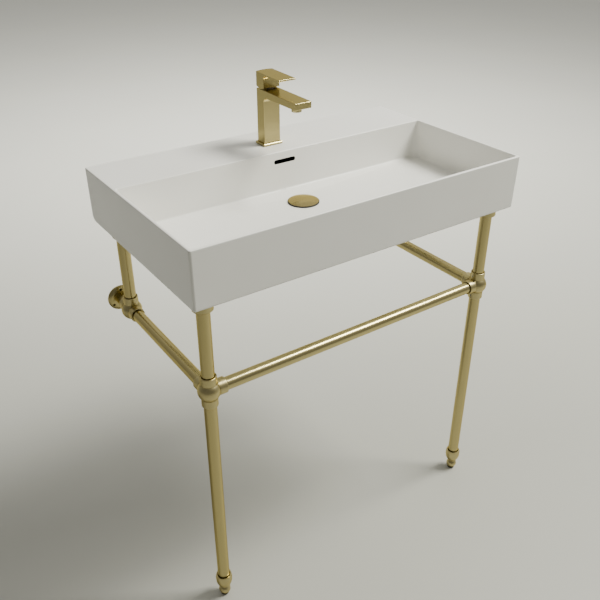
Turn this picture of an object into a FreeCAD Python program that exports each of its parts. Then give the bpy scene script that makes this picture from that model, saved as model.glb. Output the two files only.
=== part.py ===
import FreeCAD, Part
import math
import os

# Console sink: a fireclay basin on a brass tube stand, with a single-lever tap and a click waste.
# Millimetres. Z = 0 is the floor, +Y points at the wall, X runs along the wall.
# The origin lies on the floor below the middle of the basin.

# ---------------------------------------------------------------- basin
basin_width = 812.0
basin_depth = 477.0
basin_height = 121.5
rim_height = 925.0
side_draft = 0.8             # each side leans in by this much at the underside
front_draft = 1.2
outer_corner_radius = 5.0
bottom_edge_radius = 4.5
rear_bottom_radius = 16.0
rim_edge_radius = 2.4
rim_wall = 7.0
bowl_draft = 3.0
deck_depth = 152.0
bowl_depth = 91.0            # at the walls
bowl_fall = 6.0              # further down at the waste
bowl_corner_at_rim = 3.5
bowl_corner_at_floor = 28.0
bowl_floor_fillet = 5.0
deck_thickness = 14.0
back_panel = 14.0
side_panel = 12.0
bowl_back_wall = 10.0
leg_seat_side = 68.0
leg_seat_thickness = 14.0
wall_hole_spacing = 280.0
wall_hole_radius = 7.0
wall_hole_below_rim = 60.0
overflow_width = 57.0
overflow_height = 10.5
overflow_below_rim = 22.8
duct_width = 62.0
duct_depth = 12.0
duct_wall = 7.0
duct_top_above_slot = 9.0
channel_height = 9.0
channel_roof = 7.0           # clay between the bowl floor and the overflow channel

# ---------------------------------------------------------------- waste
waste_from_deck = 74.7       # behind it is the bowl's back wall
waste_flange_radius = 33.0
waste_flange_thickness = 2.0
waste_gasket_thickness = 1.0
waste_body_radius = 22.0
waste_body_wall = 3.0
waste_body_length = 68.0
waste_hole_clearance = 0.5
waste_recess_clearance = 0.5
waste_flat_margin = 4.0      # level floor left round the flange
overflow_pocket = 5.0        # room round the body where the overflow comes in
window_width = 9.0
window_height = 6.5
window_count = 4
spider_height = 5.0
spider_arm = 4.0
spider_arm_count = 3
spider_hub_wall = 2.5
spider_below_flange = 30.0
click_radius = 7.0
click_length = 26.0
click_shoulder = 2.0
click_shoulder_height = 3.0
click_floor = 3.0
plunger_radius = 4.0
plunger_length = 49.0
plunger_in_cap = 1.0
cap_radius = 34.3
cap_edge = 1.0
cap_edge_bevel = 0.5
cap_rise = 4.2
cap_boss_radius = 6.0
cap_boss_length = 6.0
seal_radius = 35.5           # it shows as a thin dark ring round the cap
seal_inner_radius = 20.0
seal_thickness = 2.4
seal_gap = 0.3
lower_gasket_radius = 30.0
lower_gasket_thickness = 5.0
lower_gasket_bevel = 3.0
slip_washer_thickness = 1.5
locknut_radius = 29.0
locknut_height = 9.0
locknut_notch_width = 8.0
locknut_notch_depth = 2.5
locknut_notch_count = 6
tail_radius = 15.875
tail_wall = 1.4
tail_length = 60.0
tail_socket_depth = 12.0
tail_thread_radius = 15.2
tail_shoulder = 3.0

# ---------------------------------------------------------------- tap
tap_from_wall = 88.5
tap_width = 42.0
tap_depth = 29.0
tap_body_top = 126.0         # above the deck
spout_reach = 136.5          # from the tap's axis to the tip
spout_thickness = 14.0
spout_fall = 2.2             # the top drops by this much towards the tip
spout_cove_radius = 10.0
tap_edge_radius = 0.9
tap_hole_radius = 17.0
tap_plate_margin = 4.0
tap_plate_height = 4.6
tap_plate_corner = 1.5
tap_plate_bevel = 0.8
tap_gasket_height = 1.0
tap_gasket_inset = 1.0
shank_radius = 15.0
shank_in_hole = 9.0
inlet_radius = 4.5
inlet_depth = 12.0
inlet_spacing = 13.0
inlet_forward = 4.0
waterway_radius = 3.0
stud_radius = 4.0
stud_back = 8.5
stud_length = 66.0
stud_socket = 11.0
clamp_gasket_radius = 22.0
clamp_plate_inset = 1.0
clamp_gasket_thickness = 2.0
clamp_plate_thickness = 2.5
clamp_slot = 24.0
clamp_slot_end = 2.5         # behind the tap's axis
stud_nut_flats = 13.0
stud_nut_height = 12.0
chamber_radius = 12.7
chamber_depth = 37.0
cartridge_waist_radius = 10.8
cartridge_foot_height = 6.0
cartridge_collar_height = 3.0
cartridge_port_radius = 2.5
cartridge_window_width = 6.0
cartridge_window_height = 5.0
cartridge_window_lift = 1.0  # above the foot's top
cartridge_window_count = 4
rotor_radius = 9.4
rotor_shoulder = 2.0
rotor_neck_radius = 8.6
rotor_in_handle = 0.4
rotor_slot_play = 0.15
disc_thickness = 3.0
cartridge_floor = 3.0
nut_height = 5.0
nut_inner_radius = 9.3
nut_notch_width = 3.0
nut_notch_depth = 2.0
nut_notch_count = 4
spout_channel_width = 24.0
spout_channel_height = 6.0
aerator_back_from_tip = 25.0
aerator_radius = 11.0
aerator_drop = 10.3          # its collar hangs this far below the spout
aerator_thread_radius = 10.0
aerator_bore = 8.4
aerator_hole_radius = 0.9
aerator_hole_pitch = 3.4
aerator_edge = 0.6
aerator_insert_sunk = 0.8
aerator_insert_rise = 1.8    # into the spout's channel
aerator_insert_wall = 1.5
aerator_insert_floor = 2.0

# ---------------------------------------------------------------- handle
handle_gap = 1.6
handle_side_height = 36.2    # above the tap body, at the side edges of the back
handle_crown = 1.2           # the top is arched across at the back and flatter at the tip
handle_tip_crown = 0.4
lever_reach = 77.5           # from the tap's axis to the tip
lever_fall = 2.6             # the top's side edges drop by this much towards the tip
lever_root_thickness = 6.0
lever_tip_thickness = 3.4
lever_cove_radius = 8.0
handle_wall = 2.5
handle_roof = 12.0
handle_front_lift = 2.0
lift_angle = 16.0
lifted_clearance = 0.4       # left below the handle at full lift
pivot_below_handle = 9.5
stem_side = 7.0
stem_below_pivot = 10.0
stem_above_pivot = 27.0
stem_bevel = 0.6
stem_end_play = 0.5
pin_radius = 1.5
pin_short_by = 1.0           # less than the rotor's neck is wide
boss_radius = 7.5
boss_bottom_above_pivot = 15.0
grub_radius = 2.5
grub_length = 8.0
grub_above_pivot = 21.0
grub_key = 2.5
grub_key_depth = 2.5

# ---------------------------------------------------------------- stand
tube_radius = 13.5
tube_wall = 1.5
leg_from_side = 37.0
leg_from_front = 41.5
upright_from_wall = 67.0
rail_height = 596.0
ball_radius = 23.5
socket_radius = 17.0
socket_reach = 35.0          # from the ball's centre to the socket's mouth
socket_seat = 18.0           # from the ball's centre to the tube's end
socket_round = 1.4
socket_recess = 1.6          # a dark ring round the tube at the socket's mouth
socket_recess_depth = 2.5
groove_width = 0.8
groove_depth = 0.7
set_screw_radius = 2.0
set_screw_from_ball = 26.5
set_screw_sunk = 0.4
set_screw_key = 2.0
set_screw_key_depth = 1.2
flange_radius = 31.0
flange_thickness = 9.0
flange_edge = 2.6
flange_face_radius = 19.0
flange_socket_depth = 5.0
flange_hole_circle = 46.0
flange_hole_radius = 2.75
flange_hole_count = 3
collar_radius = 20.5         # on the tubes' upper ends, below the basin
collar_height = 22.0
collar_edge = 19.0
collar_face_radius = 15.0
collar_socket_depth = 17.0
top_pad_radius = 18.0
top_pad_thickness = 3.0
cup_bottom = 26.0            # above the floor
cup_height = 38.0
cup_neck_height = 1.5
cup_flare_out = 5.2
cup_flare_height = 9.5
cup_belly_height = 23.56
cup_belly_bulge = 0.1        # of the side between the belly and the rim
cup_neck_radius = 10.6
cup_belly_radius = 18.6
cup_rim_radius = 17.2
cup_lip = 1.8
cup_mouth_depth = 7.0
cup_seat_height = 14.0
foot_ball_radius = 13.3
foot_ball_centre = 14.0
foot_neck_radius = 7.0
foot_pad_radius = 9.0
foot_pad_height = 3.0
foot_pad_bevel = 0.6
foot_stud_radius = 5.0
foot_stud_top = 54.0

# ---------------------------------------------------------------- clearances
fit = 0.1                    # round a tube, shaft or plug that stays put
run = 0.05                   # round a pin or shaft that turns or slides
gap = 0.3                    # between faces that move past each other

# ---------------------------------------------------------------- places worked out from the sizes
front_y = -basin_depth / 2
wall_y = basin_depth / 2
side_x = basin_width / 2
underside = rim_height - basin_height
deck_front_y = wall_y - deck_depth
floor_at_wall = rim_height - bowl_depth
floor_at_waste = floor_at_wall - bowl_fall
waste_y = deck_front_y - waste_from_deck
tap_y = wall_y - tap_from_wall
leg_x = side_x - leg_from_side
leg_y = front_y + leg_from_front
upright_y = wall_y - upright_from_wall
tube_top = underside - top_pad_thickness - collar_height + collar_socket_depth
deck_underside = rim_height - deck_thickness
plate_top = rim_height + tap_gasket_height + tap_plate_height
body_top = rim_height + tap_body_top
handle_bottom = body_top + handle_gap
pivot_z = handle_bottom - pivot_below_handle
cartridge_foot = body_top - chamber_depth
cartridge_top = body_top - nut_height
X_AXIS = FreeCAD.Vector(1, 0, 0)
Y_AXIS = FreeCAD.Vector(0, 1, 0)
Z_AXIS = FreeCAD.Vector(0, 0, 1)
V = FreeCAD.Vector


def box(x0, x1, y0, y1, z0, z1):
    return Part.makeBox(x1 - x0, y1 - y0, z1 - z0, V(x0, y0, z0))


def rod(radius, start, direction, length):
    return Part.makeCylinder(radius, length, start, direction)


def ring(outer, inner, x, y, z0, z1):
    return rod(outer, V(x, y, z0), Z_AXIS, z1 - z0).cut(rod(inner, V(x, y, z0 - 1), Z_AXIS, z1 - z0 + 2))


def fuse(shapes):
    whole = shapes[0]
    for shape in shapes[1:]:
        whole = whole.fuse(shape)
    return whole.removeSplitter()


def cut(shape, tools):
    for tool in tools:
        shape = shape.cut(tool)
    return shape


def rounded_rectangle(x0, x1, y0, y1, z, radius):
    """A closed wire of four sides and four corner arcs, anticlockwise from the front left."""
    corners = [(x1 - radius, y0 + radius, -90), (x1 - radius, y1 - radius, 0),
               (x0 + radius, y1 - radius, 90), (x0 + radius, y0 + radius, 180)]
    edges = []
    ends = []
    for cx, cy, start in corners:
        points = []
        for step in (0, 45, 90):
            angle = math.radians(start + step)
            points.append(V(cx + radius * math.cos(angle), cy + radius * math.sin(angle), z))
        ends.append((points, Part.Arc(*points).toShape()))
    for index, (points, arc) in enumerate(ends):
        before = ends[index - 1][0][2]
        edges.append(Part.LineSegment(before, points[0]).toShape())
        edges.append(arc)
    return Part.Wire(edges)


def rectangle(x0, x1, y0, y1, z):
    return Part.makePolygon([V(x0, y0, z), V(x1, y0, z), V(x1, y1, z), V(x0, y1, z), V(x0, y0, z)])


def outline(points, plane):
    """A closed wire from points; a point with a third value bulges the side before it by an arc
    through (a, b) given as the middle. plane turns (a, b) into a vector."""
    edges = []
    count = len(points)
    for index in range(count):
        start = points[index]
        end = points[(index + 1) % count]
        if len(start) == 3:
            middle = start[2]
            edges.append(Part.Arc(plane(start[0], start[1]), plane(*middle), plane(end[0], end[1])).toShape())
        else:
            edges.append(Part.LineSegment(plane(start[0], start[1]), plane(end[0], end[1])).toShape())
    return Part.Wire(edges)


def turned(points, centre=None, axis=None):
    """A solid of revolution. Points are (radius, height); a third value is an arc's middle point."""
    face = Part.Face(outline(points, lambda a, b: V(a, 0, b)))
    solid = face.revolve(V(0, 0, 0), Z_AXIS, 360)
    if axis is not None:
        solid = solid.copy()
        turn = FreeCAD.Rotation(Z_AXIS, axis)
        solid.Placement = FreeCAD.Placement(V(0, 0, 0), turn)
    if centre is not None:
        solid.translate(centre)
    return solid


def arc_middle(cx, cy, radius, degrees):
    angle = math.radians(degrees)
    return (cx + radius * math.cos(angle), cy + radius * math.sin(angle))


def edges_where(shape, test):
    return [edge for edge in shape.Edges if test(edge)]


def edge_box(edge):
    return edge.BoundBox


# ================================================================ basin
def basin_blank():
    """The outside: a side profile drawn along X, met by a front profile drawn along Y."""
    rr = rear_bottom_radius
    side = [
        (front_y, rim_height),
        (front_y + front_draft, underside),
        (wall_y - rr, underside, arc_middle(wall_y - rr, underside + rr, rr, -45)),
        (wall_y, underside + rr),
        (wall_y, rim_height),
    ]
    across = Part.Face(outline(side, lambda a, b: V(-side_x, a, b))).extrude(V(basin_width, 0, 0))
    low_side = side_x - side_draft
    front = [(-side_x, rim_height), (-low_side, underside), (low_side, underside), (side_x, rim_height)]
    along = Part.Face(outline(front, lambda a, b: V(a, front_y, b))).extrude(V(0, basin_depth, 0))
    blank = across.common(along)
    upright = edges_where(blank, lambda e: edge_box(e).ZLength > basin_height - 1 and
                          edge_box(e).YMax < front_y + front_draft + 1)
    blank = blank.makeFillet(outer_corner_radius, upright)
    low = edges_where(blank, lambda e: edge_box(e).ZMax < underside + rr + 1 and
                      not (edge_box(e).YMin > wall_y - rr - 1 and edge_box(e).XLength > basin_width / 2))
    return blank.makeFillet(bottom_edge_radius, low)


def bowl_space():
    """The bowl: nearly upright walls whose corners widen from a tight radius at the rim."""
    x = side_x - rim_wall
    y0 = front_y + rim_wall
    y1 = deck_front_y
    d = bowl_draft
    top = rounded_rectangle(-x, x, y0, y1, rim_height, bowl_corner_at_rim)
    low = rounded_rectangle(-x + d, x - d, y0 + d, y1 - d, floor_at_wall, bowl_corner_at_floor)
    space = Part.makeLoft([top, low], True, True)
    floor_edges = edges_where(space, lambda e: edge_box(e).ZMax < floor_at_wall + 0.01)
    space = space.makeFillet(bowl_floor_fillet, floor_edges)
    inset = d + bowl_floor_fillet
    reach = waste_flange_radius + waste_flat_margin
    wide = rectangle(-x + inset, x - inset, y0 + inset, y1 - inset, floor_at_wall)
    small = rectangle(-reach, reach, waste_y - reach, waste_y + reach, floor_at_waste)
    return space, Part.makeLoft([wide, small], True, True)


def stadium(width, height, y0, y1, z):
    """A slot with round ends, lying along X and cut along Y."""
    half = (width - height) / 2
    core = box(-half, half, y0, y1, z - height / 2, z + height / 2)
    left = rod(height / 2, V(-half, y0, z), Y_AXIS, y1 - y0)
    right = rod(height / 2, V(half, y0, z), Y_AXIS, y1 - y0)
    return fuse([core, left, right])


def deck_space():
    """The room under the tap deck, open below, with a seat left for each rear upright."""
    x = side_x - side_draft - side_panel
    y0 = deck_front_y + bowl_back_wall
    y1 = wall_y - back_panel
    space = box(-x, x, y0, y1, underside - 1, deck_underside)
    keep = []
    seat_top = underside + leg_seat_thickness
    half = leg_seat_side / 2
    for side in (-1, 1):
        keep.append(box(side * leg_x - half, side * leg_x + half, upright_y - half, upright_y + half,
                        underside - 2, seat_top))
    duct_side = duct_width / 2 + duct_wall
    keep.append(box(-duct_side, duct_side, y0 - 1, y0 + duct_depth + duct_wall, underside - 2, rim_height))
    return cut(space, keep)


def overflow_path():
    """Slot in the bowl's back wall, duct down behind it and channel forward to the waste."""
    slot_z = rim_height - overflow_below_rim
    duct_y0 = deck_front_y + bowl_back_wall
    duct_y1 = duct_y0 + duct_depth
    roof = floor_at_waste - channel_roof
    slot = stadium(overflow_width, overflow_height, deck_front_y - 5, duct_y0 + 1, slot_z)
    duct = box(-duct_width / 2, duct_width / 2, duct_y0, duct_y1, roof - channel_height,
               slot_z + duct_top_above_slot)
    channel = box(-duct_width / 4, duct_width / 4, waste_y, duct_y1, roof - channel_height, roof)
    pocket = rod(waste_body_radius + overflow_pocket, V(0, waste_y, roof - channel_height), Z_AXIS,
                 channel_height)
    return fuse([slot, duct, channel, pocket])


def basin():
    blank = basin_blank()
    space, fall = bowl_space()
    shape = cut(blank, [space, fall, deck_space(), overflow_path()])
    recess_radius = waste_flange_radius + waste_recess_clearance
    recess_depth = waste_flange_thickness + waste_gasket_thickness
    shape = cut(shape, [
        rod(recess_radius, V(0, waste_y, floor_at_waste - recess_depth), Z_AXIS, recess_depth + 2),
        rod(waste_body_radius + waste_hole_clearance, V(0, waste_y, underside - 1), Z_AXIS, basin_height),
        rod(tap_hole_radius, V(0, tap_y, deck_underside - 1), Z_AXIS, deck_thickness + 2),
    ])
    for side in (-1, 1):
        hole = V(side * wall_hole_spacing / 2, wall_y - back_panel - 1, rim_height - wall_hole_below_rim)
        shape = shape.cut(rod(wall_hole_radius, hole, Y_AXIS, back_panel + 2))
    rim_box = 0.01
    rim_edges = edges_where(shape, lambda e: edge_box(e).ZMin > rim_height - rim_box and
                            not (edge_box(e).YMax > wall_y - rim_box and edge_box(e).YLength < 1) and
                            not (edge_box(e).YMin > tap_y - tap_hole_radius - 1 and
                                 edge_box(e).YMax < tap_y + tap_hole_radius + 1 and
                                 abs(edge_box(e).XMax) < tap_hole_radius + 1))
    return shape.makeFillet(rim_edge_radius, rim_edges)


# ================================================================ waste
def waste_body():
    z1 = floor_at_waste
    zf = z1 - waste_flange_thickness
    z0 = z1 - waste_body_length
    inner = waste_body_radius - waste_body_wall
    tail_bore = tail_thread_radius + fit
    shape = fuse([rod(waste_flange_radius, V(0, waste_y, zf), Z_AXIS, waste_flange_thickness),
                  rod(waste_body_radius, V(0, waste_y, z0), Z_AXIS, waste_body_length)])
    seat = z0 + tail_socket_depth
    shape = cut(shape, [
        rod(inner, V(0, waste_y, seat + tail_shoulder), Z_AXIS, waste_body_length),
        rod(tail_radius - tail_wall, V(0, waste_y, z0 - 1), Z_AXIS, waste_body_length),
        rod(tail_bore, V(0, waste_y, z0 - 1), Z_AXIS, tail_socket_depth + 1),
    ])
    spider_z = zf - spider_below_flange
    hub = rod(click_radius + spider_hub_wall, V(0, waste_y, spider_z), Z_AXIS, spider_height)
    arms = []
    for index in range(spider_arm_count):
        arm = box(0, inner + 1, -spider_arm / 2, spider_arm / 2, spider_z, spider_z + spider_height)
        arm.rotate(V(0, 0, 0), Z_AXIS, 90 + 360 / spider_arm_count * index)
        arm.translate(V(0, waste_y, 0))
        arms.append(arm)
    shape = fuse([shape, hub] + arms)
    shape = shape.cut(rod(click_radius + fit, V(0, waste_y, spider_z - 1), Z_AXIS, spider_height + 2))
    window_z = floor_at_waste - channel_roof - channel_height / 2
    for index in range(window_count):
        window = box(inner - 2, waste_body_radius + 2, -window_width / 2, window_width / 2,
                     window_z - window_height / 2, window_z + window_height / 2)
        window.rotate(V(0, 0, 0), Z_AXIS, 45 + 360 / window_count * index)
        window.translate(V(0, waste_y, 0))
        shape = shape.cut(window)
    return shape


def click_mechanism():
    """The click latch: a bushing screwed into the waste's spider, with a shoulder on top of it."""
    zs = floor_at_waste - waste_flange_thickness - spider_below_flange
    top = zs + spider_height
    low = top + click_shoulder_height - click_length
    barrel = click_length - click_shoulder_height
    shape = fuse([rod(click_radius, V(0, waste_y, low), Z_AXIS, barrel),
                  rod(click_radius + click_shoulder, V(0, waste_y, top), Z_AXIS, click_shoulder_height)])
    return shape.cut(rod(plunger_radius + run, V(0, waste_y, low + click_floor), Z_AXIS, click_length))


def cap_underside():
    return floor_at_waste + seal_gap + seal_thickness


def plunger_bottom():
    return cap_underside() + plunger_in_cap - plunger_length


def plunger():
    return rod(plunger_radius, V(0, waste_y, plunger_bottom()), Z_AXIS, plunger_length)


def drain_cap():
    base = cap_underside()
    dome_radius = (cap_radius ** 2 + cap_rise ** 2) / (2 * cap_rise)
    half = math.asin(cap_radius / dome_radius) / 2
    centre = cap_edge + cap_rise - dome_radius
    middle = (dome_radius * math.sin(half), centre + dome_radius * math.cos(half))
    dome = turned([(0, 0), (cap_radius - cap_edge_bevel, 0), (cap_radius, cap_edge_bevel),
                   (cap_radius, cap_edge, middle), (0, cap_edge + cap_rise)], V(0, waste_y, base))
    boss = rod(cap_boss_radius, V(0, waste_y, base - cap_boss_length), Z_AXIS,
               cap_boss_length + cap_edge_bevel)
    socket = rod(plunger_radius + fit, V(0, waste_y, base - cap_boss_length - 1), Z_AXIS,
                 cap_boss_length + 1 + plunger_in_cap)
    return fuse([dome, boss]).cut(socket)


def seal():
    z0 = floor_at_waste + seal_gap
    return ring(seal_radius, seal_inner_radius, 0, waste_y, z0, z0 + seal_thickness)


def locknut(z0):
    """A round nut with grip notches."""
    shape = ring(locknut_radius, waste_body_radius + fit, 0, waste_y, z0, z0 + locknut_height)
    half = locknut_notch_width / 2
    for index in range(locknut_notch_count):
        notch = box(locknut_radius - locknut_notch_depth, locknut_radius + 2, -half, half,
                    z0 - 1, z0 + locknut_height + 1)
        notch.rotate(V(0, 0, 0), Z_AXIS, 360 / locknut_notch_count * index)
        notch.translate(V(0, waste_y, 0))
        shape = shape.cut(notch)
    return shape


def tailpiece():
    """A plain tube for the trap, with a thinner threaded end in the waste body."""
    mouth = floor_at_waste - waste_body_length
    inner = tail_radius - tail_wall
    return fuse([ring(tail_radius, inner, 0, waste_y, mouth - tail_length, mouth),
                 ring(tail_thread_radius, inner, 0, waste_y, mouth - 1, mouth + tail_socket_depth)])


def waste_nodes():
    flange_bottom_z = floor_at_waste - waste_flange_thickness
    gasket_low = underside - lower_gasket_thickness
    washer_low = gasket_low - slip_washer_thickness
    bore = waste_body_radius + fit
    lower_gasket = turned([(bore, 0), (lower_gasket_radius - lower_gasket_bevel, 0),
                           (lower_gasket_radius, lower_gasket_bevel),
                           (lower_gasket_radius, lower_gasket_thickness), (bore, lower_gasket_thickness)],
                          V(0, waste_y, gasket_low))
    return {
        "waste_cap": drain_cap(),
        "waste_cap_seal": seal(),
        "waste_plunger": plunger(),
        "waste_click_mechanism": click_mechanism(),
        "waste_body": waste_body(),
        "waste_flange_gasket": ring(waste_flange_radius - 1, bore, 0, waste_y,
                                    flange_bottom_z - waste_gasket_thickness, flange_bottom_z),
        "waste_lower_gasket": lower_gasket,
        "waste_slip_washer": ring(lower_gasket_radius, bore, 0, waste_y, washer_low, gasket_low),
        "waste_locknut": locknut(washer_low - locknut_height),
        "waste_tailpiece": tailpiece(),
    }


# ================================================================ tap
def at_tap(shape):
    shape.translate(V(0, tap_y, 0))
    return shape


def profile_along_x(points, half_width):
    """A side profile, drawn as (distance behind the tap's axis, height) and drawn out to both sides."""
    face = Part.Face(outline(points, lambda a, b: V(-half_width, tap_y + a, b)))
    return face.extrude(V(2 * half_width, 0, 0))


def tap_body():
    """Column and spout in one casting, with the cartridge chamber, waterways and locating shank."""
    half = tap_depth / 2
    tip_top = body_top - spout_fall
    under = tip_top - spout_thickness
    r = spout_cove_radius
    side = [
        (half, plate_top), (half, body_top), (-half, body_top), (-spout_reach, tip_top),
        (-spout_reach, under),
        (-half - r, under, arc_middle(-half - r, under - r, r, 45)),
        (-half, under - r), (-half, plate_top),
    ]
    shape = profile_along_x(side, tap_width / 2)
    sharp = edges_where(shape, lambda e: edge_box(e).ZMin > plate_top - 0.01 and
                        not (abs(edge_box(e).ZMax - plate_top) < 0.01))
    shape = shape.makeFillet(tap_edge_radius, sharp)
    shank_z = rim_height - shank_in_hole
    shape = fuse([shape, rod(shank_radius, V(0, tap_y, shank_z), Z_AXIS, plate_top - shank_z)])
    chamber_z = body_top - chamber_depth
    tools = [rod(chamber_radius, V(0, tap_y, chamber_z), Z_AXIS, chamber_depth + 1)]
    for side_sign in (-1, 1):
        foot = V(side_sign * inlet_spacing / 2, tap_y - inlet_forward, shank_z - 1)
        tools.append(rod(inlet_radius, foot, Z_AXIS, inlet_depth + 1))
        tools.append(rod(waterway_radius, foot, Z_AXIS, chamber_z - shank_z + 3))
    tools.append(rod(stud_radius + fit, V(0, tap_y + stud_back, shank_z - 1), Z_AXIS, stud_socket + 1))
    aerator_y = tap_y - spout_reach + aerator_back_from_tip
    channel_z = (under + tip_top) / 2
    tools.append(box(-spout_channel_width / 2, spout_channel_width / 2, aerator_y, tap_y - half + 4,
                     channel_z - spout_channel_height / 2, channel_z + spout_channel_height / 2))
    tools.append(rod(aerator_thread_radius + fit, V(0, aerator_y, under - 1), Z_AXIS,
                     channel_z - under + 1 + spout_channel_height / 2))
    return cut(shape, tools)


def rounded_plate(width, depth, z0, z1, corner, chamfer):
    """A plate with rounded corners and a small chamfer round its top."""
    x = width / 2
    y = depth / 2
    low = rounded_rectangle(-x, x, -y, y, z0, corner)
    plate = Part.Face(low).extrude(V(0, 0, z1 - z0))
    if chamfer > 0:
        top = edges_where(plate, lambda e: edge_box(e).ZMin > z1 - 0.01)
        plate = plate.makeChamfer(chamfer, top)
    return at_tap(plate)


def tap_base_plate():
    z0 = rim_height + tap_gasket_height
    plate = rounded_plate(tap_width + 2 * tap_plate_margin, tap_depth + 2 * tap_plate_margin, z0, plate_top,
                          tap_plate_corner, tap_plate_bevel)
    return plate.cut(rod(shank_radius + fit, V(0, tap_y, z0 - 1), Z_AXIS, tap_plate_height + 2))


def tap_base_gasket():
    margin = 2 * (tap_plate_margin - tap_gasket_inset)
    plate = rounded_plate(tap_width + margin, tap_depth + margin, rim_height, rim_height + tap_gasket_height,
                          tap_plate_corner, 0)
    return plate.cut(rod(shank_radius + fit, V(0, tap_y, rim_height - 1), Z_AXIS, tap_gasket_height + 2))


def cartridge_housing():
    """A side-outlet cartridge: foot with the inlet ports, ported waist and clamped collar."""
    foot = cartridge_foot
    wide = chamber_radius - fit
    shape = fuse([
        rod(wide, V(0, tap_y, foot), Z_AXIS, cartridge_foot_height),
        rod(cartridge_waist_radius, V(0, tap_y, foot), Z_AXIS, cartridge_top - foot),
        rod(wide, V(0, tap_y, cartridge_top - cartridge_collar_height), Z_AXIS, cartridge_collar_height),
    ])
    inside = foot + cartridge_floor
    tools = [rod(rotor_radius + run, V(0, tap_y, inside), Z_AXIS, cartridge_top - inside + 1)]
    for side in (-1, 1):
        port = V(side * inlet_spacing / 2, tap_y - inlet_forward, foot - 1)
        tools.append(rod(cartridge_port_radius, port, Z_AXIS, cartridge_floor + 2))
    sill = foot + cartridge_foot_height + cartridge_window_lift
    half = cartridge_window_width / 2
    for index in range(cartridge_window_count):
        window = box(rotor_radius - 2, cartridge_waist_radius + 2, -half, half,
                     sill, sill + cartridge_window_height)
        window.rotate(V(0, 0, 0), Z_AXIS, 45 + 360 / cartridge_window_count * index)
        window.translate(V(0, tap_y, 0))
        tools.append(window)
    return cut(shape, tools)


def ceramic_disc():
    z0 = cartridge_foot + cartridge_floor
    shape = rod(rotor_radius - fit, V(0, tap_y, z0), Z_AXIS, disc_thickness)
    for side in (-1, 1):
        port = V(side * inlet_spacing / 2, tap_y - inlet_forward, z0 - 1)
        shape = shape.cut(rod(cartridge_port_radius, port, Z_AXIS, disc_thickness + 2))
    return shape


def cartridge_rotor():
    """The turning carrier: it holds the stem's pin and is slotted so that the stem can rock."""
    z0 = cartridge_foot + cartridge_floor + disc_thickness + gap
    shoulder = cartridge_top - rotor_shoulder
    neck_top = handle_bottom + rotor_in_handle
    shape = fuse([rod(rotor_radius, V(0, tap_y, z0), Z_AXIS, shoulder - z0),
                  rod(rotor_neck_radius, V(0, tap_y, z0), Z_AXIS, neck_top - z0)])
    half = stem_side / 2 + gap
    rock = math.tan(math.radians(lift_angle))
    back = half + (neck_top - pivot_z) * rock + gap
    front = half + (pivot_z - z0) * rock + gap
    x = stem_side / 2 + rotor_slot_play
    slot_up = box(-x, x, tap_y - half, tap_y + back, pivot_z - half, neck_top + 1)
    slot_down = box(-x, x, tap_y - front, tap_y + half, z0 - 1, pivot_z + half)
    pin_hole = rod(pin_radius + run, V(-rotor_radius, tap_y, pivot_z), X_AXIS, 2 * rotor_radius)
    return cut(shape, [slot_up, slot_down, pin_hole])


def cartridge_pin():
    length = 2 * rotor_neck_radius - pin_short_by
    return rod(pin_radius, V(-length / 2, tap_y, pivot_z), X_AXIS, length)


def cartridge_stem():
    half = stem_side / 2
    shape = box(-half, half, tap_y - half, tap_y + half,
                pivot_z - stem_below_pivot, pivot_z + stem_above_pivot)
    ends = edges_where(shape, lambda e: edge_box(e).ZLength < 0.01)
    shape = shape.makeChamfer(stem_bevel, ends)
    return shape.cut(rod(pin_radius + run, V(-half - 1, tap_y, pivot_z), X_AXIS, stem_side + 2))


def cartridge_nut():
    z0 = body_top - nut_height
    shape = ring(chamber_radius - fit, nut_inner_radius, 0, tap_y, z0, body_top)
    half = nut_notch_width / 2
    for index in range(nut_notch_count):
        notch = box(nut_inner_radius - 1, nut_inner_radius + 2, -half, half,
                    body_top - nut_notch_depth, body_top + 1)
        notch.rotate(V(0, 0, 0), Z_AXIS, 45 + 360 / nut_notch_count * index)
        notch.translate(V(0, tap_y, 0))
        shape = shape.cut(notch)
    return shape


def handle_relief_start():
    """How far behind the axis the handle's underside starts to rise, so that its back edge clears the
    body's flat top when the lever is lifted all the way."""
    theta = math.radians(lift_angle)
    below = pivot_below_handle - handle_gap
    room = (handle_gap + below) * math.cos(theta) - below - lifted_clearance
    return room / math.sin(theta)


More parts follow.
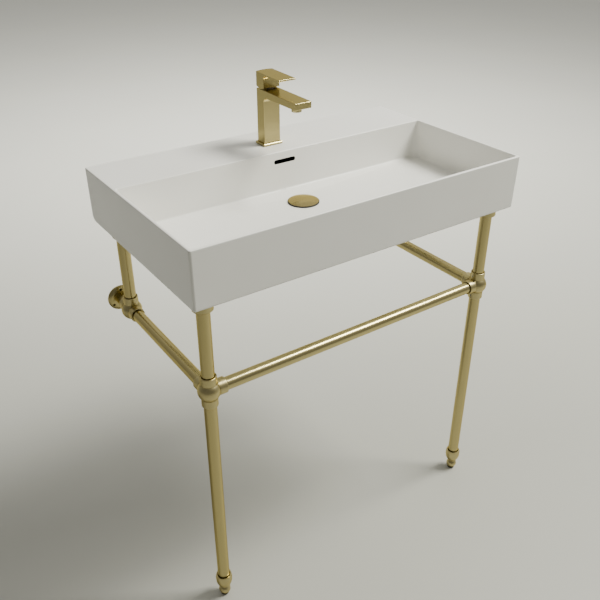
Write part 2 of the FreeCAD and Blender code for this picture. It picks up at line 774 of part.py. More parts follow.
def handle():
    """Handle block and lever in one casting, hollow over the cartridge, with a boss for the stem."""
    half = tap_depth / 2
    width = tap_width / 2
    side_top = body_top + handle_side_height
    tip_top = side_top - lever_fall
    tip_under = tip_top - lever_tip_thickness
    root_under = side_top - lever_root_thickness
    r = lever_cove_radius
    slope = (tip_under - root_under) / (lever_reach - half)
    angle = math.atan(slope)
    # the cove touches the block's upright front and the lever's rising underside
    cove_y = -half - r
    cove_z = root_under + slope * r - r / math.cos(angle)
    touch = (cove_y + r * math.sin(angle), cove_z + r * math.cos(angle))
    relief_start = handle_relief_start()
    relief_end = handle_bottom + (half - relief_start) * math.tan(math.radians(lift_angle))
    side = [
        (half, relief_end), (half, side_top), (-lever_reach, tip_top), (-lever_reach, tip_under),
        (touch[0], touch[1], arc_middle(cove_y, cove_z, r, 45)),
        (-half, cove_z), (-half, handle_bottom + handle_front_lift), (-half / 3, handle_bottom),
        (relief_start, handle_bottom),
    ]
    shape = profile_along_x(side, width)
    edge = tap_edge_radius
    sharp = edges_where(shape, lambda e: edge_box(e).ZMin > handle_bottom + handle_front_lift + 0.5 and
                        edge_box(e).YMax < tap_y - half + 0.1 and edge_box(e).ZMax < tip_top - 0.1)
    shape = shape.makeFillet(edge, sharp)
    shape = fuse([shape, crown(side_top, tip_top)])
    lip = edges_where(shape, lambda e: edge_box(e).YMax < tap_y - lever_reach + 0.01 and
                      edge_box(e).ZMin > tip_top - 0.01)
    shape = shape.makeFillet(edge, lip)
    cavity_top = side_top - handle_roof
    wall = handle_wall
    shape = shape.cut(box(-width + wall, width - wall, tap_y - half + wall, tap_y + half - wall,
                          handle_bottom - 1, cavity_top))
    boss = rod(boss_radius, V(0, tap_y, pivot_z + boss_bottom_above_pivot), Z_AXIS,
               cavity_top - pivot_z - boss_bottom_above_pivot + 1)
    shape = fuse([shape, boss])
    hole = stem_side / 2 + fit
    grub_z = pivot_z + grub_above_pivot
    return cut(shape, [
        box(-hole, hole, tap_y - hole, tap_y + hole, pivot_z, pivot_z + stem_above_pivot + stem_end_play),
        rod(grub_radius + fit, V(0, tap_y, grub_z), Y_AXIS, half + 1),
    ])


def crown(back_top, tip_top):
    """The arched top: an arc across the back that flattens out towards the lever's tip."""
    width = tap_width / 2
    sections = []
    for y, top, rise in ((tap_y + tap_depth / 2, back_top, handle_crown),
                         (tap_y - lever_reach, tip_top, handle_tip_crown)):
        low = top - 1
        sections.append(Part.Wire([
            Part.LineSegment(V(-width, y, low), V(width, y, low)).toShape(),
            Part.LineSegment(V(width, y, low), V(width, y, top)).toShape(),
            Part.Arc(V(width, y, top), V(0, y, top + rise), V(-width, y, top)).toShape(),
            Part.LineSegment(V(-width, y, top), V(-width, y, low)).toShape(),
        ]))
    return Part.makeLoft(sections, True, True)


def handle_grub_screw():
    z = pivot_z + grub_above_pivot
    y = tap_y + stem_side / 2 + fit
    shape = rod(grub_radius, V(0, y, z), Y_AXIS, grub_length)
    return shape.cut(hexagon(grub_key, V(0, y + grub_length - grub_key_depth, z), Y_AXIS, grub_length))


def hexagon(flats, start, direction, length):
    radius = flats / math.sqrt(3)
    points = []
    for index in range(7):
        angle = math.radians(60 * index)
        points.append(V(radius * math.cos(angle), radius * math.sin(angle), 0))
    prism = Part.Face(Part.makePolygon(points)).extrude(V(0, 0, length))
    prism.Placement = FreeCAD.Placement(start, FreeCAD.Rotation(Z_AXIS, direction))
    return prism


def aerator_places():
    tip_top = body_top - spout_fall
    under = tip_top - spout_thickness
    return tap_y - spout_reach + aerator_back_from_tip, under


def aerator_housing():
    y, under = aerator_places()
    thread = spout_thickness / 2 - spout_channel_height / 2
    shape = turned([(aerator_bore, -aerator_drop), (aerator_radius - aerator_edge, -aerator_drop),
                    (aerator_radius, -aerator_drop + aerator_edge), (aerator_radius, 0),
                    (aerator_thread_radius, 0),
                    (aerator_thread_radius, thread), (aerator_bore, thread)], V(0, y, under))
    return shape


def aerator_insert():
    """A plastic insert with rings of small water holes."""
    y, under = aerator_places()
    low = under - aerator_drop + aerator_insert_sunk
    height = aerator_drop + aerator_insert_rise
    outer = aerator_bore - fit
    shape = rod(outer, V(0, y, low), Z_AXIS, height)
    shape = shape.cut(rod(outer - aerator_insert_wall, V(0, y, low + aerator_insert_floor), Z_AXIS, height))
    for count, radius in ((1, 0), (6, aerator_hole_pitch * 0.9), (10, aerator_hole_pitch * 1.8)):
        for index in range(count):
            angle = 2 * math.pi * index / count
            spot = V(radius * math.cos(angle), y + radius * math.sin(angle), low - 1)
            shape = shape.cut(rod(aerator_hole_radius, spot, Z_AXIS, 4))
    return shape


def clamp_piece(radius, z0, z1):
    """A horseshoe with the stud's hole at the back and room for two hoses in front."""
    disc = rod(radius, V(0, tap_y, z0), Z_AXIS, z1 - z0)
    slot = box(-clamp_slot / 2, clamp_slot / 2, tap_y - radius - 1, tap_y + clamp_slot_end, z0 - 1, z1 + 1)
    hole = rod(stud_radius + fit, V(0, tap_y + stud_back, z0 - 1), Z_AXIS, z1 - z0 + 2)
    return cut(disc, [slot, hole])


def tap_nodes():
    gasket_low = deck_underside - clamp_gasket_thickness
    plate_low = gasket_low - clamp_plate_thickness
    stud_top = rim_height - shank_in_hole + stud_socket
    nut_foot = V(0, tap_y + stud_back, plate_low - stud_nut_height)
    nut = hexagon(stud_nut_flats, nut_foot, Z_AXIS, stud_nut_height)
    nut_hole = rod(stud_radius + fit, nut_foot, Z_AXIS, stud_nut_height)
    return {
        "tap_body": tap_body(),
        "tap_base_plate": tap_base_plate(),
        "tap_base_gasket": tap_base_gasket(),
        "tap_cartridge_housing": cartridge_housing(),
        "tap_ceramic_disc": ceramic_disc(),
        "tap_cartridge_rotor": cartridge_rotor(),
        "tap_cartridge_pin": cartridge_pin(),
        "tap_cartridge_stem": cartridge_stem(),
        "tap_cartridge_nut": cartridge_nut(),
        "tap_handle": handle(),
        "tap_handle_grub_screw": handle_grub_screw(),
        "tap_aerator_housing": aerator_housing(),
        "tap_aerator_insert": aerator_insert(),
        "tap_stud": rod(stud_radius, V(0, tap_y + stud_back, stud_top - stud_length), Z_AXIS, stud_length),
        "tap_clamp_gasket": clamp_piece(clamp_gasket_radius, gasket_low, deck_underside),
        "tap_clamp_plate": clamp_piece(clamp_gasket_radius - clamp_plate_inset, plate_low, gasket_low),
        "tap_stud_nut": nut.cut(nut_hole),
    }


# ================================================================ stand
def tube(start, end):
    """A round tube between two points."""
    line = end.sub(start)
    outer = rod(tube_radius, start, line, line.Length)
    return outer.cut(rod(tube_radius - tube_wall, start, line, line.Length))


def ball_fitting(centre, directions, screws):
    """A ball with a socket for each tube; each screw is (socket direction, side it enters from)."""
    parts = [Part.makeSphere(ball_radius)]
    mouth = socket_reach - socket_round
    for direction in directions:
        parts.append(turned([(0, 0), (socket_radius, 0),
                             (socket_radius, mouth, arc_middle(socket_radius - socket_round, mouth,
                                                               socket_round, 45)),
                             (socket_radius - socket_round, socket_reach), (0, socket_reach)],
                            axis=direction))
    shape = fuse(parts)
    root = math.sqrt(ball_radius ** 2 - socket_radius ** 2) + 0.3
    for direction in directions:
        bottom = socket_radius - groove_depth
        groove = turned([(bottom, root), (ball_radius, root), (ball_radius, root + groove_width),
                         (bottom, root + groove_width)], axis=direction)
        shape = shape.cut(groove)
        bore = rod(tube_radius + fit, direction.normalize() * socket_seat, direction, socket_reach)
        recess = rod(tube_radius + socket_recess, direction * (socket_reach - socket_recess_depth), direction,
                     socket_reach)
        shape = cut(shape, [bore, recess])
    for direction, side in screws:
        foot = direction.normalize() * set_screw_from_ball
        shape = shape.cut(rod(set_screw_radius + fit, foot, side, socket_radius + 2))
    shape.translate(centre)
    return shape


def set_screw(centre, direction, side):
    """A headless screw that grips the tube from the side, sunk flush in its socket."""
    foot = centre + direction.normalize() * set_screw_from_ball + side.normalize() * (tube_radius + fit)
    length = socket_radius - tube_radius - fit - set_screw_sunk
    shape = rod(set_screw_radius, foot, side, length)
    key = hexagon(set_screw_key, foot + side.normalize() * (length - set_screw_key_depth), side, length)
    return shape.cut(key)


def flange(centre, direction, radius, height, edge, face_radius, socket_depth):
    """A round flange or collar; direction points from the surface that it lies on towards the tube."""
    rise = height - edge
    spread = radius - face_radius
    # the shoulder is an arc that leaves the rim and reaches the flat face level
    shoulder = (spread ** 2 + rise ** 2) / (2 * rise)
    half = math.asin(spread / shoulder) / 2
    middle = (face_radius + shoulder * math.sin(half), height - shoulder + shoulder * math.cos(half))
    shape = turned([(0, 0), (radius, 0), (radius, edge, middle), (face_radius, height), (0, height)],
                   axis=direction)
    socket = rod(tube_radius + fit, direction.normalize() * (height - socket_depth), direction, height)
    shape = shape.cut(socket)
    shape.translate(centre)
    return shape


def wall_flange(x):
    """The flange that carries a side rail's wall stub, with its screw holes."""
    shape = flange(V(x, wall_y, rail_height), V(0, -1, 0), flange_radius, flange_thickness, flange_edge,
                   flange_face_radius, flange_socket_depth)
    for index in range(flange_hole_count):
        angle = math.radians(90 + 360 / flange_hole_count * index)
        r = flange_hole_circle / 2
        spot = V(x + r * math.cos(angle), wall_y + 1, rail_height + r * math.sin(angle))
        shape = shape.cut(rod(flange_hole_radius, spot, V(0, -1, 0), flange_thickness + 2))
    return shape


def foot_cup(x):
    """A tulip-shaped cup on the leg's end, threaded below for the foot's stud."""
    z0 = cup_bottom
    z1 = cup_bottom + cup_height
    belly = z0 + cup_belly_height
    seat = z0 + cup_seat_height
    mouth = z1 - cup_mouth_depth
    flare = (cup_neck_radius + cup_flare_out, z0 + cup_flare_height)
    shape = turned([
        (foot_stud_radius + run, z0), (cup_neck_radius, z0), (cup_neck_radius, z0 + cup_neck_height, flare),
        (cup_belly_radius, belly, (cup_belly_radius + cup_belly_bulge, (belly + z1) / 2)),
        (cup_rim_radius, z1), (cup_rim_radius - cup_lip, z1), (cup_rim_radius - cup_lip, mouth),
        (tube_radius + fit, mouth), (tube_radius + fit, seat), (foot_stud_radius + run, seat),
    ], V(x, leg_y, 0))
    return shape


def foot_ball(x):
    """The ball foot: flat below for its pad, with a neck and a threaded stud up into the cup."""
    centre = foot_ball_centre
    r = foot_ball_radius
    flat = math.sqrt(r ** 2 - (centre - foot_pad_height) ** 2)
    neck = math.sqrt(r ** 2 - foot_neck_radius ** 2)
    top = cup_bottom - gap
    shape = turned([(0, foot_pad_height), (flat, foot_pad_height, (r, centre)),
                    (foot_neck_radius, centre + neck), (foot_neck_radius, top), (0, top)], V(x, leg_y, 0))
    stud = rod(foot_stud_radius, V(x, leg_y, foot_ball_centre), Z_AXIS, foot_stud_top - foot_ball_centre)
    return fuse([shape, stud])


def foot_pad(x):
    return turned([(0, 0), (foot_pad_radius - foot_pad_bevel, 0), (foot_pad_radius, foot_pad_bevel),
                   (foot_pad_radius, foot_pad_height), (0, foot_pad_height)], V(x, leg_y, 0))


def stand_nodes():
    nodes = {}
    screws = []
    up = V(0, 0, 1)
    down = V(0, 0, -1)
    back = V(0, 1, 0)
    forward = V(0, -1, 0)
    top_face = underside - top_pad_thickness
    for name, side in (("left", -1), ("right", 1)):
        x = side * leg_x
        inward = V(-side, 0, 0)
        front = V(x, leg_y, rail_height)
        rear = V(x, upright_y, rail_height)
        grips = [(up, inward), (down, inward), (inward, down), (back, down)]
        nodes["front_ball_" + name] = ball_fitting(front, [up, down, inward, back], grips)
        screws += [set_screw(front, direction, into) for direction, into in grips]
        grips = [(up, inward), (forward, down), (back, down)]
        nodes["rear_ball_" + name] = ball_fitting(rear, [up, forward, back], grips)
        screws += [set_screw(rear, direction, into) for direction, into in grips]
        nodes["lower_leg_" + name] = tube(V(x, leg_y, cup_bottom + cup_seat_height),
                                          V(x, leg_y, rail_height - socket_seat))
        nodes["upper_leg_" + name] = tube(V(x, leg_y, rail_height + socket_seat), V(x, leg_y, tube_top))
        nodes["rear_upright_" + name] = tube(V(x, upright_y, rail_height + socket_seat),
                                             V(x, upright_y, tube_top))
        nodes["side_rail_" + name] = tube(V(x, leg_y + socket_seat, rail_height),
                                          V(x, upright_y - socket_seat, rail_height))
        nodes["wall_stub_" + name] = tube(V(x, upright_y + socket_seat, rail_height),
                                          V(x, wall_y - flange_thickness + flange_socket_depth, rail_height))
        nodes["wall_flange_" + name] = wall_flange(x)
        for place, y in (("front", leg_y), ("rear", upright_y)):
            nodes["top_collar_" + place + "_" + name] = flange(V(x, y, top_face), down, collar_radius,
                                                               collar_height, collar_edge, collar_face_radius,
                                                               collar_socket_depth)
            nodes["top_pad_" + place + "_" + name] = rod(top_pad_radius, V(x, y, top_face), Z_AXIS,
                                                         top_pad_thickness)
        nodes["foot_cup_" + name] = foot_cup(x)
        nodes["foot_ball_" + name] = foot_ball(x)
        nodes["foot_pad_" + name] = foot_pad(x)
    nodes["front_rail"] = tube(V(-leg_x + socket_seat, leg_y, rail_height),
                               V(leg_x - socket_seat, leg_y, rail_height))
    nodes["ball_set_screws"] = Part.makeCompound(screws)
    return nodes


def save(nodes):
    os.makedirs("parts", exist_ok=True)
    for name in sorted(nodes):
        nodes[name].exportStep("parts/" + name + ".step")


everything = {"basin": basin()}
everything.update(waste_nodes())
everything.update(tap_nodes())
everything.update(stand_nodes())
save(everything)
print(len(everything), "nodes")
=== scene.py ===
import math

import bpy
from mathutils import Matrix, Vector


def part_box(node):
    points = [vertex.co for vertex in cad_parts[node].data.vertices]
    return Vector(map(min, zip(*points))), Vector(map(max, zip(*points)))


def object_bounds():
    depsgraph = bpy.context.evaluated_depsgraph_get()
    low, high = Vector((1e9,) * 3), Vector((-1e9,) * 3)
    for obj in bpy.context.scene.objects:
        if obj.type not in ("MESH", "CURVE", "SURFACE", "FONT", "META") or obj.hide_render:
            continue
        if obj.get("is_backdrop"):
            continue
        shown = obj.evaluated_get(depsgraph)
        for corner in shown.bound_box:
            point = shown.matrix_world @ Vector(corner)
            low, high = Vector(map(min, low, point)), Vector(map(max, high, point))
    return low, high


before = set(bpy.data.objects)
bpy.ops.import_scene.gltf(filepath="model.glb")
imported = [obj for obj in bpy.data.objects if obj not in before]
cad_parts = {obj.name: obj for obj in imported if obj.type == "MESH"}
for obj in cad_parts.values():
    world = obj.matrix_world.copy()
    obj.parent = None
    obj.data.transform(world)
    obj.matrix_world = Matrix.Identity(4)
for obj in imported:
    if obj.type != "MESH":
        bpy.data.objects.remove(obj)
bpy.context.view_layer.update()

# ---------------------------------------------------------------- camera
# The photograph was taken from the front left, from about 1.5 m up, looking down at about 31 degrees.
camera_data = bpy.data.cameras.new("camera")
camera_data.sensor_width = 36.0
camera_data.lens = 43.68
camera = bpy.data.objects.new("camera", camera_data)
bpy.context.scene.collection.objects.link(camera)
look_down, turn_right = 30.711, 34.708
camera.location = (-0.8651, -1.2233, 1.4688)
camera.rotation_euler = (math.radians(90 - look_down), 0, math.radians(-turn_right))
bpy.context.scene.camera = camera


# ---------------------------------------------------------------- floor
# A plain pale resin floor, rolled and self-levelled, large enough to fill every view. Its tone drifts a
# little from place to place and its sheen is soft.
def linear_colour(hex_code):
    """An sRGB hex colour as the linear red, green, blue and alpha that a shader socket takes."""
    parts = [int(hex_code[place:place + 2], 16) / 255 for place in (1, 3, 5)]
    return [part / 12.92 if part <= 0.04045 else ((part + 0.055) / 1.055) ** 2.4 for part in parts] + [1.0]


def add_node(tree, kind, settings=(), inputs=(), links=()):
    """One node with its settings and input values, and links as (input, node, output)."""
    node = tree.nodes.new(kind)
    for name, value in dict(settings).items():
        setattr(node, name, value)
    for name, value in dict(inputs).items():
        node.inputs[name].default_value = value
    for name, source, output in links:
        tree.links.new(source.outputs[output], node.inputs[name])
    return node


def new_material(name):
    """An empty material, its node tree, and the object coordinates that every pattern here is laid on."""
    material = bpy.data.materials.new(name)
    material.use_nodes = True
    tree = material.node_tree
    tree.nodes.clear()
    return material, tree, add_node(tree, "ShaderNodeTexCoord")


floor_resin, tree, place = new_material("pale_self_levelled_resin")
# clouds about 0.8 m across, where the resin ran together
clouds = add_node(tree, "ShaderNodeTexNoise", inputs={"Scale": 1.3, "Detail": 4.0, "Roughness": 0.5},
                  links=[("Vector", place, "Object")])
tone = add_node(tree, "ShaderNodeMix", {"data_type": "RGBA"},
                {"A": linear_colour("#B2B2AA"), "B": linear_colour("#B8B8B0")}, [("Factor", clouds, "Fac")])
shader = add_node(tree, "ShaderNodeBsdfPrincipled", inputs={"Roughness": 0.45, "IOR": 1.45},
                  links=[("Base Color", tone, "Result")])
add_node(tree, "ShaderNodeOutputMaterial", links=[("Surface", shader, "BSDF")])

bpy.ops.object.select_all(action="DESELECT")
bpy.ops.mesh.primitive_plane_add(size=24.0, location=(0, 0, 0))
floor = bpy.context.object
floor.name = "floor"
floor.data.materials.append(floor_resin)
floor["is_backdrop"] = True


# ---------------------------------------------------------------- studio light
# One large soft light high on the right in front, a soft one over the far floor, and a pale surround that is
# brighter above, behind and on the right than at the front left, so that the brass reflects something dark.
def soft_light(name, place, target, size, power, colour):
    """A rectangular area light that faces its target."""
    data = bpy.data.lights.new(name, "AREA")
    data.shape = "RECTANGLE"
    data.size, data.size_y = size
    data.energy = power
    data.color = linear_colour(colour)[:3]
    light = bpy.data.objects.new(name, data)
    light.location = place
    light.rotation_euler = (Vector(target) - Vector(place)).to_track_quat("-Z", "Y").to_euler()
    bpy.context.scene.collection.objects.link(light)
    return light


soft_light("key_light", place=(2.2, -0.95, 3.85), target=(0, 0, 0.6), size=(1.4, 1.4), power=256.0,
           colour="#FFFEF4")
far_light = soft_light("far_floor_light", place=(1.2, 1.8, 3.0), target=(2.7, 5.8, 0), size=(3.0, 1.5),
                       power=420.0, colour="#FFFEFA")
far_light.visible_glossy = False

surround = bpy.data.worlds.new("surround")
bpy.context.scene.world = surround
surround.use_nodes = True
tree = surround.node_tree
background = tree.nodes["Background"]
sky = add_node(tree, "ShaderNodeTexCoord")
to_the_top, to_the_back_right = (0.5, 0.3, 0.81), (0.7, 0.7, 0.0)
overhead = add_node(tree, "ShaderNodeVectorMath", {"operation": "DOT_PRODUCT"}, {1: to_the_top},
                    [(0, sky, "Generated")])
sideways = add_node(tree, "ShaderNodeVectorMath", {"operation": "DOT_PRODUCT"}, {1: to_the_back_right},
                    [(0, sky, "Generated")])
spread = add_node(tree, "ShaderNodeMapRange",
                  inputs={"From Min": -0.6, "From Max": 0.9, "To Min": 0.20, "To Max": 0.60},
                  links=[("Value", sideways, "Value")])
height = add_node(tree, "ShaderNodeMapRange",
                  inputs={"From Min": 0.35, "From Max": 1.0, "To Min": 0.0, "To Max": 0.44},
                  links=[("Value", overhead, "Value")])
strength = add_node(tree, "ShaderNodeMath", {"operation": "ADD"},
                    links=[(0, spread, "Result"), (1, height, "Result")])
background.inputs["Color"].default_value = linear_colour("#F4F3EB")
tree.links.new(strength.outputs["Value"], background.inputs["Strength"])


# ---------------------------------------------------------------- basin
# One piece of fireclay, slip cast, then fired with a satin white glaze. A fired surface of this size is
# never quite even, so its reflections are soft and slightly wavy. Inside the overflow the shade is painted
# nearly black.
def give(material, *nodes):
    """Puts one material on all the slots of the named CAD nodes."""
    for node in nodes:
        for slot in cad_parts[node].material_slots:
            slot.material = material


satin_glaze, tree, place = new_material("satin_white_glaze_on_fireclay")
# tone and sheen drift over about 110 mm, with the thickness of the glaze
drift = add_node(tree, "ShaderNodeTexNoise", inputs={"Scale": 9.0, "Detail": 3.0},
                 links=[("Vector", place, "Object")])
glaze_tone = add_node(tree, "ShaderNodeMix", {"data_type": "RGBA"},
                      {"A": linear_colour("#F3F2ED"), "B": linear_colour("#EDECE6")},
                      [("Factor", drift, "Fac")])
sheen = add_node(tree, "ShaderNodeMapRange", inputs={"To Min": 0.26, "To Max": 0.36},
                 links=[("Value", drift, "Fac")])

# the overflow's slot and duct, within one box: painted shade, nearly black, over the same glaze
overflow_middle, overflow_half = (0.0, 0.0983, 0.864), (0.0325, 0.0113, 0.054)
offset = add_node(tree, "ShaderNodeVectorMath", {"operation": "SUBTRACT"}, {1: overflow_middle},
                  [(0, place, "Object")])
distance = add_node(tree, "ShaderNodeVectorMath", {"operation": "ABSOLUTE"}, links=[(0, offset, "Vector")])
outside = add_node(tree, "ShaderNodeVectorMath", {"operation": "SUBTRACT"}, {1: overflow_half},
                   [(0, distance, "Vector")])
axes = add_node(tree, "ShaderNodeSeparateXYZ", links=[("Vector", outside, "Vector")])
level = add_node(tree, "ShaderNodeMath", {"operation": "MAXIMUM"}, links=[(0, axes, "X"), (1, axes, "Y")])
farthest = add_node(tree, "ShaderNodeMath", {"operation": "MAXIMUM"},
                    links=[(0, level, "Value"), (1, axes, "Z")])
fade = 0.0008
inside = add_node(tree, "ShaderNodeMapRange", inputs={"From Min": 0.0, "From Max": -fade},
                  links=[("Value", farthest, "Value")])
tone = add_node(tree, "ShaderNodeMix", {"data_type": "RGBA"}, {"B": linear_colour("#141412")},
                [("Factor", inside, "Result"), ("A", glaze_tone, "Result")])

# orange peel: ripples about 2.5 mm across, a few hundredths of a millimetre high
peel = add_node(tree, "ShaderNodeTexNoise", inputs={"Scale": 1 / 0.0025, "Detail": 2.0},
                links=[("Vector", place, "Object")])
ripple = add_node(tree, "ShaderNodeBump", inputs={"Strength": 0.12, "Distance": 0.0002},
                  links=[("Height", peel, "Fac")])
shader = add_node(tree, "ShaderNodeBsdfPrincipled", inputs={"IOR": 1.5},
                  links=[("Base Color", tone, "Result"), ("Roughness", sheen, "Result"),
                         ("Normal", ripple, "Normal")])
add_node(tree, "ShaderNodeOutputMaterial", links=[("Surface", shader, "BSDF")])
give(satin_glaze, "basin")


# ---------------------------------------------------------------- stand
# Drawn brass tubes, turned balls, collars and flanges, all brushed by hand and left matt under a clear
# lacquer. The brush follows each piece, and its lines stretch the highlights across them.
def brushed_brass(name, lines, dark="#B1A473", light="#BAAD7A", smooth=0.20, dull=0.28, holes=()):
    """Brushed brass; lines gives the scale of its brush lines on each axis, smallest along the lines. Holes
    are (x, z, radius) of drilled holes along Y, whose bores are painted nearly black as shade."""
    material, tree, place = new_material(name)
    stretch = add_node(tree, "ShaderNodeMapping", inputs={"Scale": lines},
                       links=[("Vector", place, "Object")])
    streak = add_node(tree, "ShaderNodeTexNoise", inputs={"Scale": 1.0, "Detail": 3.0, "Roughness": 0.6},
                      links=[("Vector", stretch, "Vector")])
    tone = add_node(tree, "ShaderNodeMix", {"data_type": "RGBA"},
                    {"A": linear_colour(dark), "B": linear_colour(light)}, [("Factor", streak, "Fac")])
    # painted shade: each hole's bore and a thin ring at its edge go nearly black
    for x, z, radius in holes:
        offset = add_node(tree, "ShaderNodeVectorMath", {"operation": "SUBTRACT"}, {1: (x, 0.0, z)},
                          [(0, place, "Object")])
        across = add_node(tree, "ShaderNodeVectorMath", {"operation": "MULTIPLY"}, {1: (1.0, 0.0, 1.0)},
                          [(0, offset, "Vector")])
        reach = add_node(tree, "ShaderNodeVectorMath", {"operation": "LENGTH"}, links=[(0, across, "Vector")])
        painted_hole_shade = add_node(tree, "ShaderNodeMapRange",
                         inputs={"From Min": radius + 0.0004, "From Max": radius + 0.0001},
                         links=[("Value", reach, "Value")])
        tone = add_node(tree, "ShaderNodeMix", {"data_type": "RGBA"}, {"B": linear_colour("#14110A")},
                        [("Factor", painted_hole_shade, "Result"), ("A", tone, "Result")])
    # the sheen drifts over about 30 mm, where the hand pressed more or less
    cloud = add_node(tree, "ShaderNodeTexNoise", inputs={"Scale": 30.0, "Detail": 2.0},
                     links=[("Vector", place, "Object")])
    satin = add_node(tree, "ShaderNodeMapRange", inputs={"To Min": smooth, "To Max": dull},
                     links=[("Value", cloud, "Fac")])
    groove = add_node(tree, "ShaderNodeBump", inputs={"Strength": 0.03, "Distance": 0.0002},
                      links=[("Height", streak, "Fac")])
    shader = add_node(tree, "ShaderNodeBsdfPrincipled",
                      inputs={"Metallic": 1.0, "Specular Tint": linear_colour("#EDE0B6")},
                      links=[("Base Color", tone, "Result"), ("Roughness", satin, "Result"),
                             ("Normal", groove, "Normal")])
    add_node(tree, "ShaderNodeOutputMaterial", links=[("Surface", shader, "BSDF")])
    return material


# lines of about 1.2 mm, coarser than the real 0.2 mm so that they show, and 80 mm long
fine, long_way = 1 / 0.0012, 1 / 0.08
brass_up = brushed_brass("brushed_brass_lines_up", (fine, fine, long_way))
brass_across = brushed_brass("brushed_brass_lines_across", (long_way, fine, fine), "#B6AA7A", "#BFB383")
brass_back = brushed_brass("brushed_brass_lines_back", (fine, long_way, fine))
# turned pieces were spun against the brush, so their marks are short and cross every way, and duller
every_way = (fine / 2, fine / 2, fine / 2)
brass_turned = brushed_brass("turned_brass_satin", every_way, "#B7AB7C", "#C0B485", smooth=0.30, dull=0.38)

give(brass_across, "front_rail")
hole_circle, hole_radius = 0.023, 0.00275
for side in ("left", "right"):
    give(brass_up, "lower_leg_" + side, "upper_leg_" + side, "rear_upright_" + side)
    give(brass_back, "side_rail_" + side, "wall_stub_" + side)
    give(brass_turned, "front_ball_" + side, "rear_ball_" + side, "foot_cup_" + side, "foot_ball_" + side,
         "top_collar_front_" + side, "top_collar_rear_" + side)
    low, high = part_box("wall_flange_" + side)
    middle_x, middle_z = (low[0] + high[0]) / 2, (low[2] + high[2]) / 2
    screw_holes = []
    for turn in (90, 210, 330):
        angle = math.radians(turn)
        screw_holes.append((middle_x + hole_circle * math.cos(angle),
                            middle_z + hole_circle * math.sin(angle), hole_radius))
    give(brushed_brass("turned_brass_flange_" + side, every_way, holes=screw_holes), "wall_flange_" + side)


# ---------------------------------------------------------------- stand: pads and screws
# Moulded black rubber between brass and basin and below the feet, and stainless set screws sunk in the
# ball fittings' sockets. Rubber has a dull skin with the mould's grain, and steel a gloss cut by tool marks.
black_rubber, tree, place = new_material("black_epdm_rubber_moulded")
# grain of about 1.1 mm, coarser than the mould's own so that it shows, and bloom in patches of 17 mm
grain = add_node(tree, "ShaderNodeTexNoise", inputs={"Scale": 900.0, "Detail": 3.0},
                 links=[("Vector", place, "Object")])
bloom = add_node(tree, "ShaderNodeTexNoise", inputs={"Scale": 60.0, "Detail": 2.0},
                 links=[("Vector", place, "Object")])
tone = add_node(tree, "ShaderNodeMix", {"data_type": "RGBA"},
                {"A": linear_colour("#141414"), "B": linear_colour("#202020")}, [("Factor", bloom, "Fac")])
dull = add_node(tree, "ShaderNodeMapRange", inputs={"To Min": 0.55, "To Max": 0.75},
                links=[("Value", grain, "Fac")])
skin = add_node(tree, "ShaderNodeBump", inputs={"Strength": 0.2, "Distance": 0.0001},
                links=[("Height", grain, "Fac")])
shader = add_node(tree, "ShaderNodeBsdfPrincipled", inputs={"IOR": 1.52},
                  links=[("Base Color", tone, "Result"), ("Roughness", dull, "Result"),
                         ("Normal", skin, "Normal")])
add_node(tree, "ShaderNodeOutputMaterial", links=[("Surface", shader, "BSDF")])
for side in ("left", "right"):
    give(black_rubber, "top_pad_front_" + side, "top_pad_rear_" + side, "foot_pad_" + side)


def machined_metal(name, dark, light, scale, pitch=0.0):
    """Bare machined metal with tool marks at the given scale and, where pitch is set, a thread along Z."""
    material, tree, place = new_material(name)
    marks = add_node(tree, "ShaderNodeTexNoise", inputs={"Scale": scale, "Detail": 3.0},
                     links=[("Vector", place, "Object")])
    tone = add_node(tree, "ShaderNodeMix", {"data_type": "RGBA"},
                    {"A": linear_colour(dark), "B": linear_colour(light)}, [("Factor", marks, "Fac")])
    satin = add_node(tree, "ShaderNodeMapRange", inputs={"To Min": 0.24, "To Max": 0.40},
                     links=[("Value", marks, "Fac")])
    relief = add_node(tree, "ShaderNodeBump", inputs={"Strength": 0.15, "Distance": 0.0002},
                      links=[("Height", marks, "Fac")])
    if pitch:
        # one sine wave of the wave texture at scale 1 is 0.1 pi long
        thread = add_node(tree, "ShaderNodeTexWave", {"wave_type": "BANDS", "bands_direction": "Z"},
                          {"Scale": 0.1 * math.pi / pitch}, [("Vector", place, "Object")])
        relief = add_node(tree, "ShaderNodeBump", inputs={"Strength": 0.9, "Distance": pitch * 0.5},
                          links=[("Height", thread, "Fac"), ("Normal", relief, "Normal")])
    shader = add_node(tree, "ShaderNodeBsdfPrincipled", inputs={"Metallic": 1.0},
                      links=[("Base Color", tone, "Result"), ("Roughness", satin, "Result"),
                             ("Normal", relief, "Normal")])
    add_node(tree, "ShaderNodeOutputMaterial", links=[("Surface", shader, "BSDF")])
    return material


# tool marks of about 1.4 mm, coarser than the real ones so that they show
stainless = machined_metal("stainless_steel_machined", "#8F9090", "#B4B5B4", 700.0)
give(stainless, "ball_set_screws")


# ---------------------------------------------------------------- waste
# A brass click waste: a domed cap brushed like the stand, on a black seal ring. What hangs below the bowl
# is turned brass with its thread cut from end to end, held by a notched nut on a washer and a gasket.
# the cap's brass is a darker copy of the stand's: painted shade
give(brushed_brass("brushed_brass_cap_painted_shade", (long_way, fine, fine), "#A19365", "#AA9C6D"), "waste_cap")
give(black_rubber, "waste_cap_seal", "waste_flange_gasket", "waste_lower_gasket")
give(brass_up, "waste_tailpiece")

# bare brass, yellower and glossier than the brushed one, with tool marks of about 2 mm so that they show
bare_dark, bare_light, turning_marks = "#A98F4E", "#C4AC6C", 1 / 0.002
turned_brass = machined_metal("turned_brass_bare", bare_dark, bare_light, turning_marks)
give(turned_brass, "waste_plunger", "waste_click_mechanism", "waste_locknut")
# a thread of 1.8 mm pitch, as on pipe of this size
give(machined_metal("threaded_brass_pipe", bare_dark, bare_light, turning_marks, pitch=0.0018), "waste_body")


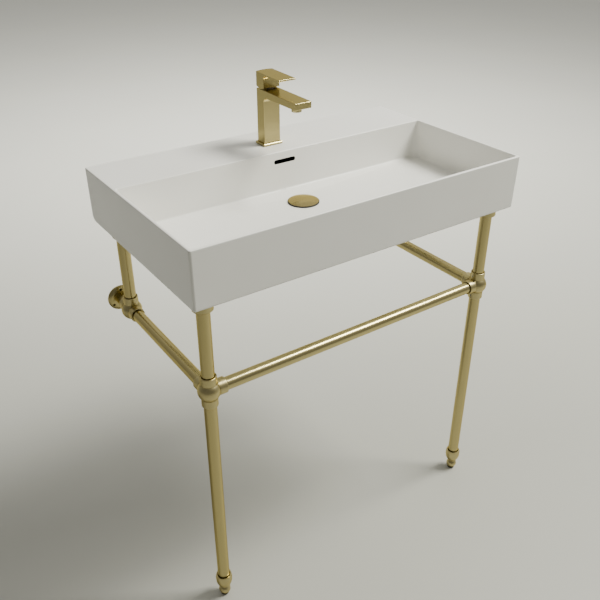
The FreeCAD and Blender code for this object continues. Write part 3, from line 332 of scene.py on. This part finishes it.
def moulded_plastic(name, dark, light):
    """A moulded technical plastic: nearly even in colour, with the soft sheen of a spark-eroded mould."""
    material, tree, place = new_material(name)
    grain = add_node(tree, "ShaderNodeTexNoise", inputs={"Scale": 1200.0, "Detail": 2.0},
                     links=[("Vector", place, "Object")])
    flow = add_node(tree, "ShaderNodeTexNoise", inputs={"Scale": 45.0, "Detail": 2.0},
                    links=[("Vector", place, "Object")])
    tone = add_node(tree, "ShaderNodeMix", {"data_type": "RGBA"},
                    {"A": linear_colour(dark), "B": linear_colour(light)}, [("Factor", flow, "Fac")])
    satin = add_node(tree, "ShaderNodeMapRange", inputs={"To Min": 0.38, "To Max": 0.52},
                     links=[("Value", grain, "Fac")])
    skin = add_node(tree, "ShaderNodeBump", inputs={"Strength": 0.15, "Distance": 0.0001},
                    links=[("Height", grain, "Fac")])
    shader = add_node(tree, "ShaderNodeBsdfPrincipled", inputs={"IOR": 1.5},
                      links=[("Base Color", tone, "Result"), ("Roughness", satin, "Result"),
                             ("Normal", skin, "Normal")])
    add_node(tree, "ShaderNodeOutputMaterial", links=[("Surface", shader, "BSDF")])
    return material


give(moulded_plastic("white_acetal_moulded", "#DCDCD6", "#E6E6E0"), "waste_slip_washer")


# ---------------------------------------------------------------- tap: body and handle
# Cast brass, ground flat and brushed like the stand: up the column, and along the spout and the lever.
# The aerator's collar is turned and screwed into the spout.
def brushed_tap_body():
    """Lines up the column and along the spout, which starts in front of the column."""
    material = brushed_brass("brushed_brass_tap_body", (fine, fine, long_way))
    column_front = 0.1352
    tree = material.node_tree
    stretch = next(node for node in tree.nodes if node.type == "MAPPING")
    place = next(node for node in tree.nodes if node.type == "TEX_COORD")
    axes = add_node(tree, "ShaderNodeSeparateXYZ", links=[("Vector", place, "Object")])
    spout = add_node(tree, "ShaderNodeMath", {"operation": "LESS_THAN"}, {1: column_front}, [(0, axes, "Y")])
    scales = add_node(tree, "ShaderNodeMix", {"data_type": "VECTOR"},
                      {"A": (fine, fine, long_way), "B": (fine, long_way, fine)},
                      [("Factor", spout, "Value")])
    tree.links.new(scales.outputs["Result"], stretch.inputs["Scale"])
    return material


give(brushed_tap_body(), "tap_body")
give(brass_back, "tap_handle")
give(brass_across, "tap_base_plate")
give(brass_turned, "tap_aerator_housing")


# ---------------------------------------------------------------- tap: inside and below the deck
# The cartridge is grey plastic over lapped ceramic, with a steel stem and pin. Below the deck the tap is
# pulled down by a threaded brass stud with its nut, a steel clamp plate and a rubber gasket.
give(moulded_plastic("grey_acetal_moulded", "#8C9094", "#9A9EA2"),
     "tap_cartridge_housing", "tap_cartridge_rotor", "tap_aerator_insert")
give(stainless, "tap_cartridge_pin", "tap_cartridge_stem", "tap_handle_grub_screw", "tap_clamp_plate")
give(black_rubber, "tap_base_gasket", "tap_clamp_gasket")
give(turned_brass, "tap_cartridge_nut", "tap_stud_nut")
# M8, 1.25 mm pitch
give(machined_metal("threaded_brass_stud", bare_dark, bare_light, turning_marks, pitch=0.00125), "tap_stud")

# lapped alumina: white and glossy, with a fine speckle of its grains
lapped_ceramic, tree, place = new_material("white_alumina_lapped")
specks = add_node(tree, "ShaderNodeTexVoronoi", inputs={"Scale": 1 / 0.0004},
                  links=[("Vector", place, "Object")])
tone = add_node(tree, "ShaderNodeMix", {"data_type": "RGBA"},
                {"A": linear_colour("#E9E8E2"), "B": linear_colour("#DDDCD4")},
                [("Factor", specks, "Distance")])
shader = add_node(tree, "ShaderNodeBsdfPrincipled", inputs={"Roughness": 0.18, "IOR": 1.76},
                  links=[("Base Color", tone, "Result")])
add_node(tree, "ShaderNodeOutputMaterial", links=[("Surface", shader, "BSDF")])
give(lapped_ceramic, "tap_ceramic_disc")

low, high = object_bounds()
